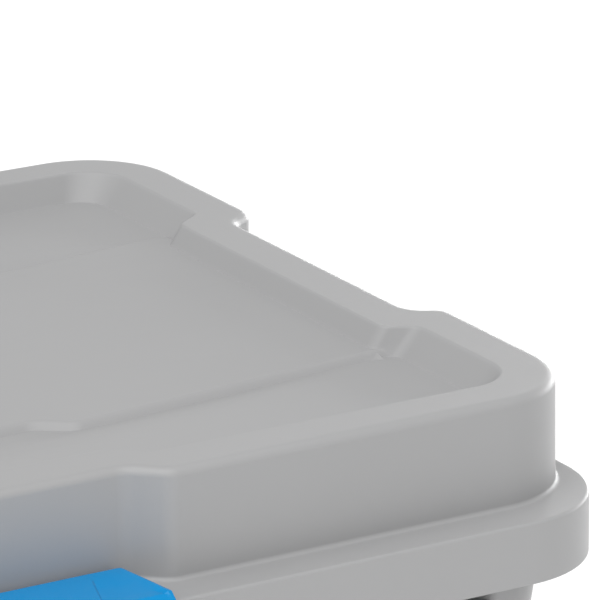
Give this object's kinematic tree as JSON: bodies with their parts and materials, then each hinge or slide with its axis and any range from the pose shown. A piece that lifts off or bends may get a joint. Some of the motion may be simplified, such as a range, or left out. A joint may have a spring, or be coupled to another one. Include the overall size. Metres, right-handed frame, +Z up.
{
  "type": "lidded storage tote",
  "caption": "Tapered plastic storage tote with a stepped, stackable lid hinged along the back and a wide latch that swings up at the front.",
  "frame": {"origin": "on the resting plane, below the middle of the tote's overall box", "axes": "+Z up, +X along the long side, the latch on the front at -Y and the lid hinge at the back at +Y"},
  "size_m": [0.6, 0.416, 0.343],
  "materials": {
    "tub_plastic": "fine satin texture, neutral grey",
    "lid_plastic": "fine satin texture, neutral grey",
    "latch_plastic": "semi-gloss, bright blue",
    "pin_steel": "zinc plated"
  },
  "bodies": {
    "tub": {"tub": "tub_plastic", "hinge_pin_left": "pin_steel", "hinge_pin_right": "pin_steel"},
    "lid": {"lid": "lid_plastic", "latch_pin_left": "pin_steel", "latch_pin_right": "pin_steel"},
    "latch": {"front_latch": "latch_plastic"}
  },
  "joints": [
    {"name": "lid_hinge", "type": "hinge", "parent": "tub", "child": "lid", "pos_m": [0, 0.203, 0.268], "axis": [-1, 0, 0], "range_deg": [0, 105]},
    {"name": "latch_hinge", "type": "hinge", "parent": "lid", "child": "latch", "pos_m": [0, -0.1763, 0.3036], "axis": [-1, 0, 0], "range_deg": [0, 90]}
  ]
}
